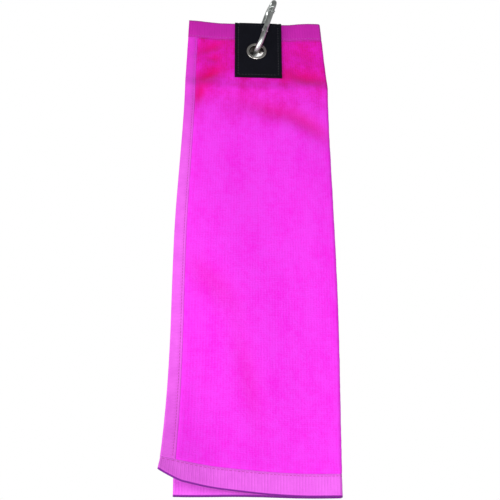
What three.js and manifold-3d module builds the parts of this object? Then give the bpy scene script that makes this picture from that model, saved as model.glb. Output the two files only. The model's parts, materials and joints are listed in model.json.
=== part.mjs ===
// A golf towel as it hangs from a golf bag: a hemmed velour towel folded in three along its length,
// a woven patch wrapped over its top edge, an eyelet through patch and towel, and a carabiner
// with a sprung gate through the eyelet.
// Millimetres, +Z up. The origin is the inner surface of the carabiner's top bend, where a bag ring bears.
// The towel's front faces -Y.
import * as THREE from "three";
import { mergeVertices } from "three/addons/utils/BufferGeometryUtils.js";
import Module from "manifold-3d";

const wasm = await Module();
wasm.setup();

// ---- driving dimensions ----

const TOWEL_LENGTH = 500;
const FOLDED_WIDTH = 141;
const CLOTH_THICKNESS = 1.3;
const HEM_THICKNESS = 1.6;
const LEAF_PITCH = 2.0; // from the middle of one folded leaf to the next
const END_HEM = 20; // height of the top and bottom hems
const SIDE_HEM = 10; // width of the side hems
const INNER_LEAF_SHORT = 5; // the inner leaf stops this far short of the fold
const SEAM_GAP = 0.3; // between neighbouring pieces of cloth
const DEPTH_STEPS = 24; // the same on neighbouring pieces, so that their bends match
const FOLD_STEPS = 8;
const FLARE_STEP = 13; // between stops across the flared leaf

const TAPER_DEPTH = 72; // the top edge is drawn in a little above this depth
const TAPER_SHARE = 0.057;
const TAPER_SHIFT = 1.8;

const FLARE_WIDTH = 130; // the front leaf's free edge lifts away over this width
const FLARE_DEPTH = 330; // and below this depth
const FLARE_FORWARD = 37;
const FLARE_UP = 5;
const FLARE_OUT = 7;
const EDGE_OUT = 5; // the free edge also hangs this far outside the fold behind it
const EDGE_OUT_DEPTH = 260;

const PATCH_WIDTH = 47;
const PATCH_HEIGHT = 68.5;
const PATCH_THICKNESS = 1.0;
const PATCH_INSIDE = 3.3; // from the towel's mid-plane to the patch's inner face
const PATCH_OFFSET = 1.7; // the patch sits a little to the right of the eyelet
const STITCH_INSET = 3.5; // from the patch's edges
const HEM_STITCH_INSET = 2; // from a hem's inner edge
const THREAD_WIDTH = 0.6;
const THREAD_THICKNESS = 0.4;
const THREAD_GAP = 0.05;

const EYELET_DEPTH = 36.5; // eyelet centre below the top edge, on the towel's centre line
const EYELET_HOLE_RADIUS = 6.8;
const EYELET_BARREL_RADIUS = 7.3;
const CLOTH_HOLE_RADIUS = 7.6;
const EYELET_FLANGE_RADIUS = 10;
const FLANGE_THICKNESS = 0.9;
const CLINCH_THICKNESS = 0.6; // the barrel's back end, rolled over the washer
const EYELET_DROP = 0.9; // eyelet centre below the wire that carries it
const EYELET_ASIDE = 1.5; // and to its right

const WIRE_RADIUS = 2.6;
const LOOP_LENGTH = 69; // over the wire
const LOOP_WIDTH = 32; // over the wire
const SPINE_CORNER = 8;
const GATE_CORNER = 12;
const LOOP_LEAN = THREE.MathUtils.degToRad(15.5); // the loop's top leans towards +X
const LOOP_YAW = THREE.MathUtils.degToRad(-74); // turns the gate to the front
const BAR_MIDDLE = (SPINE_CORNER - GATE_CORNER) / 2; // middle of the straight bar that carries the eyelet

const HINGE_BELOW_TOP = 15; // below the inner surface of the top bend
const NOSE_BELOW_HINGE = 26;
const GATE_END = 3; // the gate runs this far past the hinge and the nose pin
const END_GAP = 0.9; // between the gate's ends and the body
const SLOT_WIDTH = 2.4;
const TONGUE_THICKNESS = 1.6;
const TONGUE_HALF_WIDTH = 2.2;
const RIVET_RADIUS = 1.0;
const NOSE_PIN_RADIUS = 0.8;
const BORE_RADIUS = 1.5;
const BORE_END = 17.5; // blind end of the spring bore, below the hinge
const PLUNGER_RADIUS = 1.15;
const PLUNGER_LENGTH = 4.2;
const SPRING_RADIUS = 1.0; // middle of the wire
const SPRING_WIRE_RADIUS = 0.2;
const SPRING_TURNS = 7;
const PLUNGER_TRAVEL = 0.9;
const PIN_HEAD_HEIGHT = 0.5;
const RUNNING_GAP = 0.3;

// ---- derived ----

const HALF = FOLDED_WIDTH / 2;
const LOOP_TOP = WIRE_RADIUS; // centre line of the top bend
const WIRE_BOTTOM = LOOP_TOP - (LOOP_LENGTH - 2 * WIRE_RADIUS);
const SIDE = LOOP_WIDTH / 2 - WIRE_RADIUS; // centre line of the two long bars
const HINGE_Z = -HINGE_BELOW_TOP;
const NOSE_Z = HINGE_Z - NOSE_BELOW_HINGE;
const BODY_TOP_END = HINGE_Z + GATE_END + END_GAP;
const BODY_NOSE_END = NOSE_Z - GATE_END - END_GAP;

// The wire's centre at the bottom of the loop, and the eyelet's centre just under it.
const LOOP_TURN = new THREE.Euler(0, LOOP_LEAN, LOOP_YAW);
const PIVOT = new THREE.Vector3(BAR_MIDDLE, 0, WIRE_BOTTOM).applyEuler(LOOP_TURN);
const EYELET = new THREE.Vector3(PIVOT.x + EYELET_ASIDE, PIVOT.y, PIVOT.z - EYELET_DROP);

// ---- materials ----

const finish = (color, roughness, metalness = 0) =>
  new THREE.MeshStandardMaterial({ color, roughness, metalness });

const velour = finish(0xe81fc4, 0.95);
const hemCloth = finish(0xe850d8, 0.9);
const thread = finish(0xc01596, 0.8);
const webbing = finish(0x0b0d14, 0.85);
const blackThread = finish(0x1a1c24, 0.7);
const nickel = finish(0xc9c6c0, 0.25, 1);
const aluminium = finish(0xb4bab8, 0.35, 1);
const steel = finish(0x9a9c9e, 0.3, 1);

// ---- solids ----

// A closed geometry as a manifold solid.
function solid(geometry) {
  const bare = geometry.clone();
  bare.deleteAttribute("normal");
  bare.deleteAttribute("uv");
  const merged = mergeVertices(bare, 1e-4);
  return new wasm.Manifold(
    new wasm.Mesh({
      numProp: 3,
      vertProperties: new Float32Array(merged.attributes.position.array),
      triVerts: new Uint32Array(merged.index.array),
    }),
  );
}

function geometryOf(body) {
  const made = body.getMesh();
  const geometry = new THREE.BufferGeometry();
  geometry.setAttribute("position", new THREE.BufferAttribute(made.vertProperties, 3));
  geometry.setIndex(new THREE.BufferAttribute(made.triVerts, 1));
  const flat = geometry.toNonIndexed();
  flat.computeVertexNormals();
  return flat;
}

function named(name, geometry, material) {
  const mesh = new THREE.Mesh(geometry, material);
  mesh.name = name;
  return mesh;
}

// A cylinder along Y or X or Z, centred at a point.
function rod(radius, length, axis, x, y, z, sides = 24) {
  const made = new THREE.CylinderGeometry(radius, radius, length, sides);
  if (axis === "x") made.rotateZ(Math.PI / 2);
  if (axis === "z") made.rotateX(Math.PI / 2);
  return made.translate(x, y, z);
}

function block(width, depth, height, x, y, z) {
  return new THREE.BoxGeometry(width, depth, height).translate(x, y, z);
}

// ---- folded cloth ----

// The fold's centre line seen from above, from the front leaf's free edge to the inner leaf's free edge:
// front leaf, wide fold on the right, back leaf, tight fold on the left, inner leaf.
const RIGHT_FOLD_X = HALF - LEAF_PITCH - HEM_THICKNESS / 2;
const LEFT_FOLD_X = -HALF + LEAF_PITCH / 2 + HEM_THICKNESS / 2;
const foldLine = new THREE.CurvePath();
const at = (x, y) => new THREE.Vector2(x, y);
const arc = (x, y, radius, from, to) => new THREE.EllipseCurve(x, y, radius, radius, from, to, to < from);
foldLine.add(new THREE.LineCurve(at(-HALF, -LEAF_PITCH), at(RIGHT_FOLD_X, -LEAF_PITCH)));
foldLine.add(arc(RIGHT_FOLD_X, 0, LEAF_PITCH, -Math.PI / 2, Math.PI / 2));
foldLine.add(new THREE.LineCurve(at(RIGHT_FOLD_X, LEAF_PITCH), at(LEFT_FOLD_X, LEAF_PITCH)));
foldLine.add(arc(LEFT_FOLD_X, LEAF_PITCH / 2, LEAF_PITCH / 2, Math.PI / 2, (3 * Math.PI) / 2));
foldLine.add(new THREE.LineCurve(at(LEFT_FOLD_X, 0), at(RIGHT_FOLD_X - INNER_LEAF_SHORT, 0)));
const FLAT_WIDTH = foldLine.getLength();

// A stretch of the fold line with its left-hand normals, closely spaced in the folds and over the flare.
function foldStretch(from, to) {
  const lengths = foldLine.getCurveLengths();
  const stops = new Set([from, to]);
  for (let s = FLARE_STEP; s < FLARE_WIDTH + FLARE_STEP; s += FLARE_STEP) stops.add(s);
  for (const [start, end] of [[lengths[0], lengths[1]], [lengths[2], lengths[3]]]) {
    for (let i = 0; i <= FOLD_STEPS; i++) stops.add(start + ((end - start) * i) / FOLD_STEPS);
  }
  const inside = [...stops].filter((s) => s >= from && s <= to).sort((a, b) => a - b);
  return inside.map((s) => {
    const share = s / FLAT_WIDTH;
    const point = foldLine.getPoint(share);
    const index = lengths.findIndex((length) => s <= length + 1e-6);
    const curve = foldLine.curves[index];
    const start = index ? lengths[index - 1] : 0;
    const along = (s - start) / (lengths[index] - start);
    const tangent = curve.getTangent(THREE.MathUtils.clamp(along, 0, 1));
    return { point, normal: at(-tangent.y, tangent.x) };
  });
}

// Where a point of the folded towel hangs. x runs across the folded towel from its centre line,
// y from its mid-plane to the back, depth down from the top edge.
function hang(x, y, depth) {
  const isFront = y < -LEAF_PITCH / 2 && x < HALF - LEAF_PITCH * 2;
  const across = isFront ? Math.max(0, 1 - (x + HALF) / FLARE_WIDTH) ** 3 : 0;
  const down = Math.max(0, (depth - FLARE_DEPTH) / (TOWEL_LENGTH - FLARE_DEPTH)) ** 2;
  const edge = THREE.MathUtils.smoothstep(depth, TAPER_DEPTH, EDGE_OUT_DEPTH);
  const taper = Math.max(0, 1 - depth / TAPER_DEPTH);
  const narrowed = x * (1 - TAPER_SHARE * taper) - TAPER_SHIFT * taper;
  return new THREE.Vector3(
    EYELET.x + narrowed - across * (EDGE_OUT * edge + FLARE_OUT * down),
    EYELET.y + y - across * down * FLARE_FORWARD,
    EYELET.z + EYELET_DEPTH - depth + across * down * FLARE_UP,
  );
}

// A closed skin over a stack of rings, from the top down. Each ring is a thin strip's outline, which runs
// along its outer side and back along its inner side, so both ends of the stack close across the strip.
function skinOver(rings) {
  const size = rings[0].length;
  const index = [];
  const quad = (a, b, c, d) => index.push(a, b, c, a, c, d);
  for (let start = 0; start < (rings.length - 1) * size; start += size) {
    for (let k = 0; k < size; k++) {
      const next = (k + 1) % size;
      quad(start + k, start + size + k, start + size + next, start + next);
    }
  }
  const last = (rings.length - 1) * size;
  for (let k = 0; k + 1 < size / 2; k++) {
    const across = [k, k + 1, size - 2 - k, size - 1 - k];
    quad(...across);
    quad(...across.reverse().map((corner) => last + corner));
  }
  const skin = new THREE.BufferGeometry().setFromPoints(rings.flat());
  skin.setIndex(index);
  const flat = skin.toNonIndexed();
  flat.computeVertexNormals();
  return flat;
}

// Cloth of one thickness over a stretch of the fold line and a stretch of depth.
// offset moves it off the fold line, to the outside where it is positive.
function foldedCloth(from, to, top, bottom, thickness, steps, offset = 0) {
  const line = foldStretch(from, to);
  const side = (sign) =>
    line.map(({ point, normal }) => point.clone().addScaledVector(normal, (sign * thickness) / 2 - offset));
  const outline = [...side(-1), ...side(1).reverse()];
  const rings = [];
  for (let i = 0; i <= steps; i++) {
    const depth = THREE.MathUtils.lerp(top, bottom, i / steps);
    rings.push(outline.map(({ x, y }) => hang(x, y, depth)));
  }
  return skinOver(rings);
}

// Places geometry drawn around the eyelet's centre, with Y through the towel.
function atEyelet(geometry) {
  return geometry.translate(EYELET.x, EYELET.y, EYELET.z);
}

// What the eyelet's barrel passes through, longer than the towel is thick.
function clothHole() {
  return solid(rod(CLOTH_HOLE_RADIUS, 30, "y", 0, 0, 0, 32));
}

function towelCloth() {
  const cloth = foldedCloth(
    SIDE_HEM + SEAM_GAP,
    FLAT_WIDTH - SIDE_HEM - SEAM_GAP,
    END_HEM + SEAM_GAP,
    TOWEL_LENGTH - END_HEM - SEAM_GAP,
    CLOTH_THICKNESS,
    DEPTH_STEPS,
  );
  return geometryOf(solid(cloth).subtract(clothHole().translate(EYELET.toArray())));
}

const hemFace = HEM_THICKNESS / 2 + THREAD_GAP + THREAD_THICKNESS / 2;

// A line of thread across the outside of an end hem, from the free edge round to the tight fold.
function endHemThread(depth) {
  const end = foldLine.getCurveLengths()[2];
  return foldedCloth(1, end, depth, depth + THREAD_WIDTH, THREAD_THICKNESS, 1, hemFace);
}

// ---- patch ----

// A strap of webbing folded over the top edge, front and back alike, with the eyelet's hole through it.
function patch() {
  const top = EYELET_DEPTH + SEAM_GAP + HEM_THICKNESS / 2;
  const bottom = EYELET_DEPTH - PATCH_HEIGHT;
  const outer = PATCH_INSIDE + PATCH_THICKNESS;
  const outline = new THREE.Shape();
  outline.moveTo(-outer, bottom);
  outline.lineTo(-PATCH_INSIDE, bottom);
  outline.lineTo(-PATCH_INSIDE, top - PATCH_THICKNESS);
  outline.lineTo(PATCH_INSIDE, top - PATCH_THICKNESS);
  outline.lineTo(PATCH_INSIDE, bottom);
  outline.lineTo(outer, bottom);
  outline.lineTo(outer, top - PATCH_THICKNESS);
  outline.absarc(outer - PATCH_THICKNESS, top - PATCH_THICKNESS, PATCH_THICKNESS, 0, Math.PI / 2);
  outline.lineTo(-outer + PATCH_THICKNESS, top);
  outline.absarc(-outer + PATCH_THICKNESS, top - PATCH_THICKNESS, PATCH_THICKNESS, Math.PI / 2, Math.PI);
  const strap = new THREE.ExtrudeGeometry(outline, {
    depth: PATCH_WIDTH,
    bevelEnabled: false,
    curveSegments: 5,
  });
  // The outline's x is the towel's thickness and its y is height.
  strap.applyMatrix4(new THREE.Matrix4().makeBasis(
    new THREE.Vector3(0, 1, 0),
    new THREE.Vector3(0, 0, 1),
    new THREE.Vector3(1, 0, 0),
  )).translate(PATCH_OFFSET - PATCH_WIDTH / 2, 0, 0);
  return atEyelet(geometryOf(solid(strap).subtract(clothHole())));
}

// A rectangle of thread on the patch's front (side -1) or back (side 1).
function patchThread(side) {
  const width = PATCH_WIDTH - 2 * STITCH_INSET;
  const height = PATCH_HEIGHT - 2 * STITCH_INSET;
  const ring = new THREE.Shape();
  const corner = (w, h) => [at(-w, -h), at(w, -h), at(w, h), at(-w, h)];
  ring.setFromPoints(corner(width / 2, height / 2));
  const inner = corner(width / 2 - THREAD_WIDTH, height / 2 - THREAD_WIDTH);
  ring.holes.push(new THREE.Path(inner));
  const made = new THREE.ExtrudeGeometry(ring, { depth: THREAD_THICKNESS, bevelEnabled: false });
  const face = PATCH_INSIDE + PATCH_THICKNESS + THREAD_GAP;
  const middle = EYELET_DEPTH - PATCH_HEIGHT / 2;
  made.rotateX(Math.PI / 2).translate(PATCH_OFFSET, side < 0 ? -face : face + THREAD_THICKNESS, middle);
  return atEyelet(made);
}

// ---- eyelet ----

const PATCH_FACE = PATCH_INSIDE + PATCH_THICKNESS;
const BARREL_BACK = PATCH_FACE + SEAM_GAP + FLANGE_THICKNESS + SEAM_GAP + CLINCH_THICKNESS;

// Turns a closed profile of [radius, distance towards the back] points about the eyelet's axis.
function turned(profile) {
  return atEyelet(new THREE.LatheGeometry(profile.map(([r, y]) => at(r, y)), 40));
}

// Front flange with a rolled rim, and the barrel, whose back end is clinched over the washer.
function eyelet() {
  const face = -PATCH_FACE - SEAM_GAP;
  const crown = face - FLANGE_THICKNESS;
  return turned([
    [EYELET_HOLE_RADIUS, crown + 0.5],
    [EYELET_HOLE_RADIUS + 0.7, crown],
    [EYELET_FLANGE_RADIUS - 1.2, crown],
    [EYELET_FLANGE_RADIUS, face - 0.3],
    [EYELET_FLANGE_RADIUS, face],
    [EYELET_BARREL_RADIUS, face],
    [EYELET_BARREL_RADIUS, BARREL_BACK - CLINCH_THICKNESS],
    [EYELET_BARREL_RADIUS + 0.9, BARREL_BACK - CLINCH_THICKNESS],
    [EYELET_BARREL_RADIUS + 0.9, BARREL_BACK - 0.2],
    [EYELET_BARREL_RADIUS, BARREL_BACK],
    [EYELET_HOLE_RADIUS, BARREL_BACK],
    [EYELET_HOLE_RADIUS, crown + 0.5],
  ]);
}

function eyeletWasher() {
  const front = PATCH_FACE + SEAM_GAP;
  return turned([
    [CLOTH_HOLE_RADIUS, front],
    [EYELET_FLANGE_RADIUS, front],
    [EYELET_FLANGE_RADIUS, front + 0.5],
    [EYELET_FLANGE_RADIUS - 0.8, front + FLANGE_THICKNESS],
    [CLOTH_HOLE_RADIUS, front + FLANGE_THICKNESS],
    [CLOTH_HOLE_RADIUS, front],
  ]);
}

// ---- carabiner, drawn in its own loop plane: x towards the gate, z up ----

function wireAlong(curve, steps, sides = 10) {
  const section = new THREE.Shape();
  section.absarc(0, 0, WIRE_RADIUS, 0, 2 * Math.PI);
  return new THREE.ExtrudeGeometry(section, { steps, extrudePath: curve, curveSegments: sides });
}

class LoopArc extends THREE.Curve {
  constructor(x, z, radius, from, to) {
    super();
    Object.assign(this, { x, z, radius, from, to });
  }
  getPoint(t, target = new THREE.Vector3()) {
    const angle = THREE.MathUtils.lerp(this.from, this.to, t);
    return target.set(this.x + this.radius * Math.cos(angle), 0, this.z + this.radius * Math.sin(angle));
  }
}

// The body's centre line, from the hinge end over the top, down the spine and round to the nose.
function bodyLine() {
  const path = new THREE.CurvePath();
  const point = (x, z) => new THREE.Vector3(x, 0, z);
  const line = (a, b) => path.add(new THREE.LineCurve3(a, b));
  const right = SIDE - GATE_CORNER;
  const left = -SIDE + SPINE_CORNER;
  line(point(SIDE, BODY_TOP_END), point(SIDE, LOOP_TOP - GATE_CORNER));
  path.add(new LoopArc(right, LOOP_TOP - GATE_CORNER, GATE_CORNER, 0, Math.PI / 2));
  line(point(right, LOOP_TOP), point(left, LOOP_TOP));
  path.add(new LoopArc(left, LOOP_TOP - SPINE_CORNER, SPINE_CORNER, Math.PI / 2, Math.PI));
  line(point(-SIDE, LOOP_TOP - SPINE_CORNER), point(-SIDE, WIRE_BOTTOM + SPINE_CORNER));
  path.add(new LoopArc(left, WIRE_BOTTOM + SPINE_CORNER, SPINE_CORNER, Math.PI, 1.5 * Math.PI));
  line(point(left, WIRE_BOTTOM), point(right, WIRE_BOTTOM));
  path.add(new LoopArc(right, WIRE_BOTTOM + GATE_CORNER, GATE_CORNER, -Math.PI / 2, 0));
  line(point(SIDE, WIRE_BOTTOM + GATE_CORNER), point(SIDE, BODY_NOSE_END));
  return path;
}

function carabinerBody() {
  const tongue = (from, to) =>
    solid(block(2 * TONGUE_HALF_WIDTH, TONGUE_THICKNESS, to - from, SIDE, 0, (from + to) / 2));
  const hingeEnd = tongue(HINGE_Z - TONGUE_HALF_WIDTH, BODY_TOP_END + 1);
  const rivetHole = solid(rod(RIVET_RADIUS + RUNNING_GAP / 2, 8, "y", SIDE, 0, HINGE_Z));
  const noseTop = NOSE_Z + GATE_END - 0.4;
  const noseEnd = tongue(BODY_NOSE_END - 1, noseTop);
  const notchHeight = 2 * NOSE_PIN_RADIUS + 3 * RUNNING_GAP;
  const notchEnd = SIDE + NOSE_PIN_RADIUS + RUNNING_GAP;
  const notchLength = 2 * TONGUE_HALF_WIDTH;
  const notch = solid(block(notchLength, 8, notchHeight, notchEnd - notchLength / 2, 0, NOSE_Z));
  const wire = solid(wireAlong(bodyLine(), 72));
  return geometryOf(wire.add(hingeEnd).add(noseEnd).subtract(rivetHole).subtract(notch));
}

// The gate: a bar forked over the body's tongue at each end, and bored from its hinge end for the spring.
function gate() {
  const top = HINGE_Z + GATE_END;
  const bottom = NOSE_Z - GATE_END;
  const bar = solid(rod(WIRE_RADIUS, top - bottom, "z", SIDE, 0, (top + bottom) / 2, 32));
  const slotDepth = 2 * GATE_END + 0.6;
  const hingeSlot = solid(block(8, SLOT_WIDTH, slotDepth, SIDE, 0, top - slotDepth / 2 + 0.5));
  const noseSlot = solid(block(8, SLOT_WIDTH, slotDepth, SIDE, 0, bottom + slotDepth / 2 - 0.5));
  const boreTop = HINGE_Z - 1;
  const bore = solid(rod(BORE_RADIUS, BORE_END - 1, "z", SIDE, 0, boreTop - (BORE_END - 1) / 2, 20));
  const rivetHole = solid(rod(RIVET_RADIUS + RUNNING_GAP / 2, 8, "y", SIDE, 0, HINGE_Z));
  const pinHole = solid(rod(NOSE_PIN_RADIUS + 0.1, 8, "y", SIDE, 0, NOSE_Z));
  const holes = [hingeSlot, noseSlot, bore, rivetHole, pinHole];
  return geometryOf(holes.reduce((cut, hole) => cut.subtract(hole), bar));
}

function headedPin(radius, headRadius, z) {
  const reach = WIRE_RADIUS + 0.1;
  const headMiddle = reach + PIN_HEAD_HEIGHT / 2;
  const [front, back] = [-1, 1].map((side) =>
    solid(rod(headRadius, PIN_HEAD_HEIGHT, "y", SIDE, side * headMiddle, z)),
  );
  return geometryOf(solid(rod(radius, 2 * headMiddle, "y", SIDE, 0, z)).add(front).add(back));
}

// The plunger's tip stays clear of the tongue's corner all the way through the gate's swing.
const PLUNGER_TOP = HINGE_Z - TONGUE_HALF_WIDTH - RUNNING_GAP;

function gatePlunger() {
  const middle = PLUNGER_TOP - PLUNGER_LENGTH / 2;
  return rod(PLUNGER_RADIUS, PLUNGER_LENGTH, "z", SIDE, 0, middle, 20);
}

class Helix extends THREE.Curve {
  constructor(top, bottom) {
    super();
    Object.assign(this, { top, bottom });
  }
  getPoint(t, target = new THREE.Vector3()) {
    const angle = 2 * Math.PI * SPRING_TURNS * t;
    const z = THREE.MathUtils.lerp(this.top, this.bottom, t);
    return target.set(SIDE + SPRING_RADIUS * Math.cos(angle), SPRING_RADIUS * Math.sin(angle), z);
  }
}

function gateSpring() {
  const top = PLUNGER_TOP - PLUNGER_LENGTH - PLUNGER_TRAVEL;
  const bottom = HINGE_Z - BORE_END + SPRING_WIRE_RADIUS + RUNNING_GAP;
  const section = new THREE.Shape();
  section.absarc(0, 0, SPRING_WIRE_RADIUS, 0, 2 * Math.PI);
  return new THREE.ExtrudeGeometry(section, {
    steps: 12 * SPRING_TURNS,
    extrudePath: new Helix(top, bottom),
    curveSegments: 3,
  });
}

// ---- assembly ----

const BOTTOM_HEM_TOP = TOWEL_LENGTH - END_HEM;

function endHem(top, steps) {
  return foldedCloth(0, FLAT_WIDTH, top, top + END_HEM, HEM_THICKNESS, steps);
}

// A strip along the towel between the end hems.
function sideStrip(from, to, thickness, offset = 0) {
  const top = END_HEM + SEAM_GAP;
  const bottom = BOTTOM_HEM_TOP - SEAM_GAP;
  return foldedCloth(from, to, top, bottom, thickness, DEPTH_STEPS, offset);
}

function sideThread() {
  const from = SIDE_HEM - HEM_STITCH_INSET;
  return sideStrip(from, from + THREAD_WIDTH, THREAD_THICKNESS, hemFace);
}

const towel = new THREE.Group();
towel.add(
  named("towel_cloth", towelCloth(), velour),
  named("top_hem", endHem(0, 2), hemCloth),
  named("bottom_hem", endHem(BOTTOM_HEM_TOP, 3), hemCloth),
  named("front_side_hem", sideStrip(0, SIDE_HEM, HEM_THICKNESS), hemCloth),
  named("inner_side_hem", sideStrip(FLAT_WIDTH - SIDE_HEM, FLAT_WIDTH, HEM_THICKNESS), hemCloth),
  named("top_hem_stitching", endHemThread(END_HEM - HEM_STITCH_INSET), thread),
  named("bottom_hem_stitching", endHemThread(BOTTOM_HEM_TOP + HEM_STITCH_INSET - THREAD_WIDTH), thread),
  named("front_side_stitching", sideThread(), thread),
  named("patch", patch(), webbing),
  named("patch_stitching_front", patchThread(-1), blackThread),
  named("patch_stitching_back", patchThread(1), blackThread),
  named("eyelet", eyelet(), nickel),
  named("eyelet_washer", eyeletWasher(), nickel),
);

const carabiner = new THREE.Group();
carabiner.rotation.copy(LOOP_TURN);
carabiner.add(
  named("carabiner_body", carabinerBody(), aluminium),
  named("hinge_rivet", headedPin(RIVET_RADIUS, 1.5, HINGE_Z), steel),
  named("gate", gate(), aluminium),
  named("nose_pin", headedPin(NOSE_PIN_RADIUS, 1.1, NOSE_Z), steel),
  named("gate_plunger", gatePlunger(), steel),
  named("gate_spring", gateSpring(), steel),
);

const golfTowel = new THREE.Group();
golfTowel.add(carabiner, towel);

export default golfTowel;
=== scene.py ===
"""Golf towel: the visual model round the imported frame, in metres, +Z up, the towel's front facing -Y."""

import json
import math

import bmesh
import bpy
import numpy as np
from mathutils import Matrix, Vector, noise

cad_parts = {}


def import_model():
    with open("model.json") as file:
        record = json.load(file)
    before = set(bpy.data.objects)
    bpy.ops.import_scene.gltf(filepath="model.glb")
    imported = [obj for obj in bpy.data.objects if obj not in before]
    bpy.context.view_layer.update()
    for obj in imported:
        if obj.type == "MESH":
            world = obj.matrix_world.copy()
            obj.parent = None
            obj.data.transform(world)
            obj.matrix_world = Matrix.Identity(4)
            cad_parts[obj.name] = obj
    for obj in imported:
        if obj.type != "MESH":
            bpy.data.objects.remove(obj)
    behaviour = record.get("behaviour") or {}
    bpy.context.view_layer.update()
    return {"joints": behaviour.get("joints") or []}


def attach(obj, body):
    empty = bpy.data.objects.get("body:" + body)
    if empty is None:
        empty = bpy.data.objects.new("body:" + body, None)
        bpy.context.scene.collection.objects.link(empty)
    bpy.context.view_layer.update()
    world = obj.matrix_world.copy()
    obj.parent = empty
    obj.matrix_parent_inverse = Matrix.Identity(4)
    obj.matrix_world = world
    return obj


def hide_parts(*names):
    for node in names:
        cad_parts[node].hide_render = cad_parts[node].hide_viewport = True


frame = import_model()

MM = 0.001

# ---- towel: the same fold and the same hang as the CAD solids ----

TOWEL_LENGTH = 500 * MM
FOLDED_WIDTH = 141 * MM
HALF = FOLDED_WIDTH / 2
LEAF_PITCH = 2.0 * MM
FOLD_EDGE = 0.8 * MM  # half the hem's thickness, which sets where the folds turn
INNER_LEAF_SHORT = 5 * MM
END_HEM = 20 * MM
SIDE_HEM = 10 * MM
PILE_THICKNESS = 1.7 * MM
HEM_THICKNESS = 1.4 * MM

TAPER_DEPTH = 72 * MM
TAPER_SHARE = 0.057
TAPER_SHIFT = 1.8 * MM
FLARE_WIDTH = 130 * MM
FLARE_DEPTH = 330 * MM
FLARE_FORWARD = 35 * MM
FLARE_UP = 5 * MM
FLARE_OUT = 7 * MM
CORNER_WIDTH = 16 * MM  # the front leaf's bottom corner curls up
CORNER_UP = 5.5 * MM
EDGE_OUT = 5 * MM
EDGE_OUT_DEPTH = 260 * MM

EYELET_DEPTH = 36.5 * MM
EYELET_DROP = 0.9 * MM
EYELET_ASIDE = 1.5 * MM
EYELET_HOLE = 6.8 * MM
EYELET_BARREL = 7.3 * MM
EYELET_RIM = 10 * MM
EYELET_CLEAR = 8.2 * MM  # cloth and patch are cut back to this radius, under the flange

PATCH_WIDTH = 47 * MM
PATCH_HEIGHT = 68.5 * MM
PATCH_THICKNESS = 1.0 * MM
PATCH_MIDDLE = 3.8 * MM  # from the towel's mid-plane to the middle of the webbing
PATCH_OFFSET = 1.7 * MM
STITCH_INSET = 3.5 * MM
HEM_STITCH_INSET = 2 * MM

joints = {joint["name"]: joint for joint in frame["joints"]}
PIVOT = Vector(joints["towel_swing"]["pos_m"])
EYELET = np.array([PIVOT.x + EYELET_ASIDE, PIVOT.y, PIVOT.z - EYELET_DROP])


# ---- materials ----


def material(name, color, roughness, metallic=0.0):
    made = bpy.data.materials.new(name)
    made.use_nodes = True
    made.diffuse_color = (*color, 1)
    shader = made.node_tree.nodes["Principled BSDF"]
    shader.inputs["Base Color"].default_value = (*color, 1)
    shader.inputs["Roughness"].default_value = roughness
    shader.inputs["Metallic"].default_value = metallic
    return made, shader


def node(made, kind, **values):
    """A node of that kind, with its inputs set by name and its properties set by attribute."""
    new = made.node_tree.nodes.new(kind)
    for key, value in values.items():
        label = key.replace("_", " ")
        if label in new.inputs:
            new.inputs[label].default_value = value
        else:
            setattr(new, key, value)
    return new


def link(made, start, end):
    made.node_tree.links.new(start, end)


def sheet_coordinates(made, scale=(1, 1, 1)):
    """Metres across and down the cut cloth, stored on the mesh."""
    place = node(made, "ShaderNodeAttribute", attribute_name="sheet_place")
    mapped = node(made, "ShaderNodeMapping")
    mapped.inputs["Scale"].default_value = scale
    link(made, place.outputs["Vector"], mapped.inputs["Vector"])
    return mapped.outputs["Vector"]


def object_coordinates(made, scale=(1, 1, 1)):
    place = node(made, "ShaderNodeTexCoord")
    mapped = node(made, "ShaderNodeMapping")
    mapped.inputs["Scale"].default_value = scale
    link(made, place.outputs["Object"], mapped.inputs["Vector"])
    return mapped.outputs["Vector"]


def ramp(made, factor, stops):
    new = node(made, "ShaderNodeValToRGB")
    elements = new.color_ramp.elements
    while len(elements) < len(stops):
        elements.new(0.5)
    for element, (position, color) in zip(elements, stops):
        element.position = position
        element.color = (*color, 1)
    link(made, factor, new.inputs["Fac"])
    return new.outputs["Color"]


def noise_at(made, coordinates, scale, detail=3.0, rough=0.5):
    new = node(made, "ShaderNodeTexNoise", Scale=scale, Detail=detail, Roughness=rough)
    link(made, coordinates, new.inputs["Vector"])
    return new.outputs["Fac"]


def waves_at(made, coordinates, pitch, direction, distortion=0.0):
    """Sine bands of that pitch in metres, across direction X or Y of the coordinates."""
    new = node(made, "ShaderNodeTexWave", Distortion=distortion)
    new.wave_type = "BANDS"
    new.bands_direction = direction
    new.inputs["Scale"].default_value = math.pi / (10 * pitch)
    link(made, coordinates, new.inputs["Vector"])
    return new.outputs["Fac"]


def mixed(made, factor, a, b, blend="MIX"):
    new = node(made, "ShaderNodeMix", data_type="RGBA", blend_type=blend)
    for socket, value in ((0, factor), (6, a), (7, b)):
        if isinstance(value, bpy.types.NodeSocket):
            link(made, value, new.inputs[socket])
        elif isinstance(value, tuple):
            new.inputs[socket].default_value = (*value, 1)
        else:
            new.inputs[socket].default_value = value
    return new.outputs[2]


def summed(made, *terms):
    """The sum of weight times value over (weight, value) pairs."""
    total = None
    for weight, value in terms:
        term = node(made, "ShaderNodeMath", operation="MULTIPLY")
        link(made, value, term.inputs[0])
        term.inputs[1].default_value = weight
        if total is None:
            total = term.outputs[0]
            continue
        add = node(made, "ShaderNodeMath", operation="ADD")
        link(made, total, add.inputs[0])
        link(made, term.outputs[0], add.inputs[1])
        total = add.outputs[0]
    return total


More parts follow.
